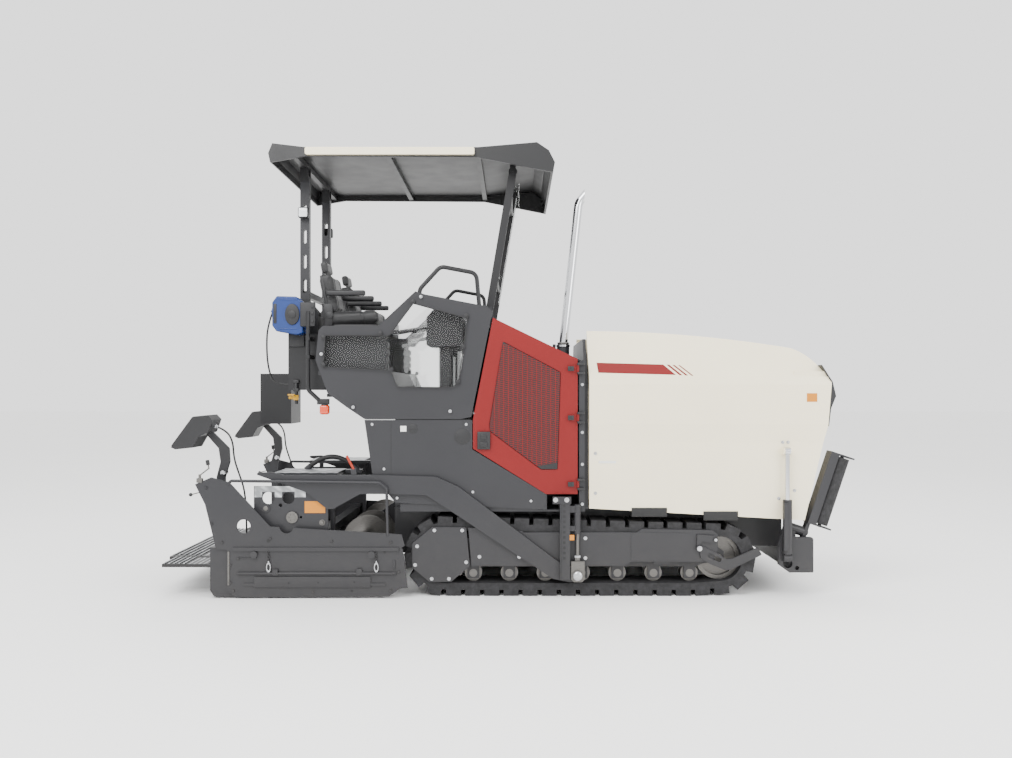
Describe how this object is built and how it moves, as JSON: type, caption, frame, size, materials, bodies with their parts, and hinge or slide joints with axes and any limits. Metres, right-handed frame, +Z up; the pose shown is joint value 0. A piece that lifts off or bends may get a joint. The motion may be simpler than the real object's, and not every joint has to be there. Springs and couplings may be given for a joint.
{
  "type": "tracked asphalt paver",
  "caption": "Tracked road paver with folding hopper wings, augers, floating screed with sliding extensions, folding roof and swing-down push rollers.",
  "frame": {"origin": "on the ground under the middle of the machine", "axes": "+X forward to the hopper, +Y to the machine's left, +Z up"},
  "size_m": [5.2918, 1.944, 3.44],
  "materials": {
    "black_rubber": "moulded rubber pads on steel shoes",
    "grey_paint": "satin charcoal grey machine enamel",
    "cream_paint": "gloss cream machine enamel",
    "red_paint": "gloss dark red machine enamel",
    "worn_steel": "worn bare steel",
    "cast_iron": "painted cast engine block",
    "clear_pane": "clear acrylic pane",
    "black_vinyl": "black vinyl seat covering",
    "black_plastic": "black moulded plastic",
    "blue_plastic": "blue painted hose reel drum",
    "chrome_steel": "polished chrome steel"
  },
  "bodies": {
    "machine": {"track_loops": "black_rubber", "track_wheels": "worn_steel", "track_frames": "grey_paint", "track_covers": "grey_paint", "chassis_frame": "grey_paint", "front_bumper": "grey_paint", "hopper_floor": "grey_paint", "hopper_bulkhead": "cream_paint", "conveyor": "worn_steel", "engine_block": "cast_iron", "engine_hood": "grey_paint", "lower_side_panels": "grey_paint", "front_columns": "grey_paint", "platform_sides": "grey_paint", "side_windows": "clear_pane", "operator_platform": "grey_paint", "rear_boxes": "grey_paint", "consoles": "black_plastic", "seats": "black_vinyl", "handrails": "black_plastic", "hose_reel": "blue_plastic", "reel_hose": "black_rubber", "tow_guides": "grey_paint"},
    "tow_points": {"tow_blocks": "worn_steel"},
    "screed": {"tow_arms": "grey_paint", "screed_body": "grey_paint", "rear_hose": "black_rubber"},
    "wing_right": {"hopper_wing_right": "cream_paint", "wing_lamp_right": "black_plastic"},
    "wing_barrel_right": {"wing_cylinder_barrel_right": "grey_paint"},
    "wing_rod_right": {"wing_cylinder_rod_right": "chrome_steel"},
    "push_arm_right": {"push_arm_right": "grey_paint"},
    "push_roller_right": {"push_roller_right": "black_rubber"},
    "side_door_right": {"side_door_right": "red_paint"},
    "auger_right": {"auger_right": "worn_steel"},
    "extension_right": {"screed_extension_right": "grey_paint", "end_gate_right": "grey_paint", "screed_console_right": "black_plastic", "console_cable_right": "black_rubber"},
    "walkway_right": {"screed_walkway_right": "grey_paint"},
    "wing_left": {"hopper_wing_left": "cream_paint", "wing_lamp_left": "black_plastic"},
    "wing_barrel_left": {"wing_cylinder_barrel_left": "grey_paint"},
    "wing_rod_left": {"wing_cylinder_rod_left": "chrome_steel"},
    "push_arm_left": {"push_arm_left": "grey_paint"},
    "push_roller_left": {"push_roller_left": "black_rubber"},
    "side_door_left": {"side_door_left": "red_paint"},
    "auger_left": {"auger_left": "worn_steel"},
    "extension_left": {"screed_extension_left": "grey_paint", "end_gate_left": "grey_paint", "screed_console_left": "black_plastic", "console_cable_left": "black_rubber"},
    "walkway_left": {"screed_walkway_left": "grey_paint"},
    "middle_walkway": {"middle_walkway": "grey_paint"},
    "roof_posts": {"roof_posts": "grey_paint"},
    "roof": {"roof_shell": "black_plastic", "roof_awnings": "cream_paint"},
    "roof_struts": {"roof_struts": "grey_paint", "windscreen": "clear_pane"},
    "exhaust": {"exhaust_stack": "chrome_steel"}
  },
  "joints": [
    {"name": "tow_point_level", "type": "slide", "parent": "machine", "child": "tow_points", "axis": [0, 0, 1], "range_m": [0, 0.15]},
    {"name": "screed_lift", "type": "hinge", "parent": "tow_points", "child": "screed", "pos_m": [0.538, 0, 0.168], "axis": [0, 1, 0], "range_deg": [0, 8]},
    {"name": "wing_fold_right", "type": "hinge", "parent": "machine", "child": "wing_right", "pos_m": [1.4, -0.838, 0.682], "axis": [1, 0, 0], "range_deg": [0, 45]},
    {"name": "wing_cylinder_swing_right", "type": "hinge", "parent": "machine", "child": "wing_barrel_right", "pos_m": [2.112, -0.925, 0.3], "axis": [1, 0, 0], "range_deg": [0, 25]},
    {"name": "wing_cylinder_stroke_right", "type": "slide", "parent": "wing_barrel_right", "child": "wing_rod_right", "axis": [0, 0, 1], "range_m": [-0.135, 0]},
    {"name": "push_arm_fold_right", "type": "hinge", "parent": "machine", "child": "push_arm_right", "pos_m": [2.262, -0.8, 0.48], "axis": [-0.9483, 0, 0.3173], "range_deg": [0, 90]},
    {"name": "push_roller_spin_right", "type": "hinge", "parent": "push_arm_right", "child": "push_roller_right", "pos_m": [2.47944, -0.8, 0.7895], "axis": [0.3173, 0, 0.9483], "continuous": true},
    {"name": "side_door_swing_right", "type": "hinge", "parent": "machine", "child": "side_door_right", "pos_m": [0.543, -0.895, 1.35], "axis": [0, 0, 1], "range_deg": [0, 85]},
    {"name": "auger_spin_right", "type": "hinge", "parent": "machine", "child": "auger_right", "pos_m": [-1.1, -0.4, 0.392], "axis": [0, 1, 0], "continuous": true},
    {"name": "screed_extend_right", "type": "slide", "parent": "screed", "child": "extension_right", "axis": [0, -1, 0], "range_m": [0, 0.6]},
    {"name": "walkway_fold_right", "type": "hinge", "parent": "extension_right", "child": "walkway_right", "pos_m": [-2.232, -0.5, 0.237], "axis": [0, 1, 0], "range_deg": [0, 90]},
    {"name": "wing_fold_left", "type": "hinge", "parent": "machine", "child": "wing_left", "pos_m": [1.4, 0.838, 0.682], "axis": [-1, 0, 0], "range_deg": [0, 45]},
    {"name": "wing_cylinder_swing_left", "type": "hinge", "parent": "machine", "child": "wing_barrel_left", "pos_m": [2.112, 0.925, 0.3], "axis": [-1, 0, 0], "range_deg": [0, 25]},
    {"name": "wing_cylinder_stroke_left", "type": "slide", "parent": "wing_barrel_left", "child": "wing_rod_left", "axis": [0, 0, 1], "range_m": [-0.135, 0]},
    {"name": "push_arm_fold_left", "type": "hinge", "parent": "machine", "child": "push_arm_left", "pos_m": [2.262, 0.8, 0.48], "axis": [0.9483, 0, -0.3173], "range_deg": [0, 90]},
    {"name": "push_roller_spin_left", "type": "hinge", "parent": "push_arm_left", "child": "push_roller_left", "pos_m": [2.47944, 0.8, 0.7895], "axis": [0.3173, 0, 0.9483], "continuous": true},
    {"name": "side_door_swing_left", "type": "hinge", "parent": "machine", "child": "side_door_left", "pos_m": [0.543, 0.895, 1.35], "axis": [0, 0, -1], "range_deg": [0, 85]},
    {"name": "auger_spin_left", "type": "hinge", "parent": "machine", "child": "auger_left", "pos_m": [-1.1, 0.4, 0.392], "axis": [0, 1, 0], "continuous": true},
    {"name": "screed_extend_left", "type": "slide", "parent": "screed", "child": "extension_left", "axis": [0, 1, 0], "range_m": [0, 0.6]},
    {"name": "walkway_fold_left", "type": "hinge", "parent": "extension_left", "child": "walkway_left", "pos_m": [-2.232, 0.5, 0.237], "axis": [0, 1, 0], "range_deg": [0, 90]},
    {"name": "middle_walkway_fold", "type": "hinge", "parent": "screed", "child": "middle_walkway", "pos_m": [-2.252, 0, 0.237], "axis": [0, 1, 0], "range_deg": [0, 90]},
    {"name": "roof_fold", "type": "hinge", "parent": "machine", "child": "roof_posts", "pos_m": [-1.616, 0, 2.235], "axis": [0, -1, 0], "range_deg": [0, 45]},
    {"name": "roof_tilt", "type": "hinge", "parent": "roof_posts", "child": "roof", "pos_m": [-1.616, 0, 3.255], "axis": [0, -1, 0], "range_deg": [-40, 0]},
    {"name": "roof_strut_fold", "type": "hinge", "parent": "machine", "child": "roof_struts", "pos_m": [-0.13, 0, 2.186], "axis": [0, -1, 0], "range_deg": [0, 41]},
    {"name": "exhaust_fold", "type": "hinge", "parent": "machine", "child": "exhaust", "pos_m": [0.386, -0.42, 1.914], "axis": [0, -1, 0], "range_deg": [0, 36]}
  ],
  "couplings": [
    {"joint": "wing_cylinder_swing_right", "follows": "wing_fold_right", "ratio": 0.524},
    {"joint": "wing_cylinder_stroke_right", "follows": "wing_fold_right", "m_per_rad": -0.152},
    {"joint": "wing_cylinder_swing_left", "follows": "wing_fold_left", "ratio": 0.524},
    {"joint": "wing_cylinder_stroke_left", "follows": "wing_fold_left", "m_per_rad": -0.152},
    {"joint": "roof_tilt", "follows": "roof_fold", "ratio": -0.878},
    {"joint": "roof_strut_fold", "follows": "roof_fold", "ratio": 0.898},
    {"joint": "exhaust_fold", "follows": "roof_fold", "ratio": 0.8}
  ]
}
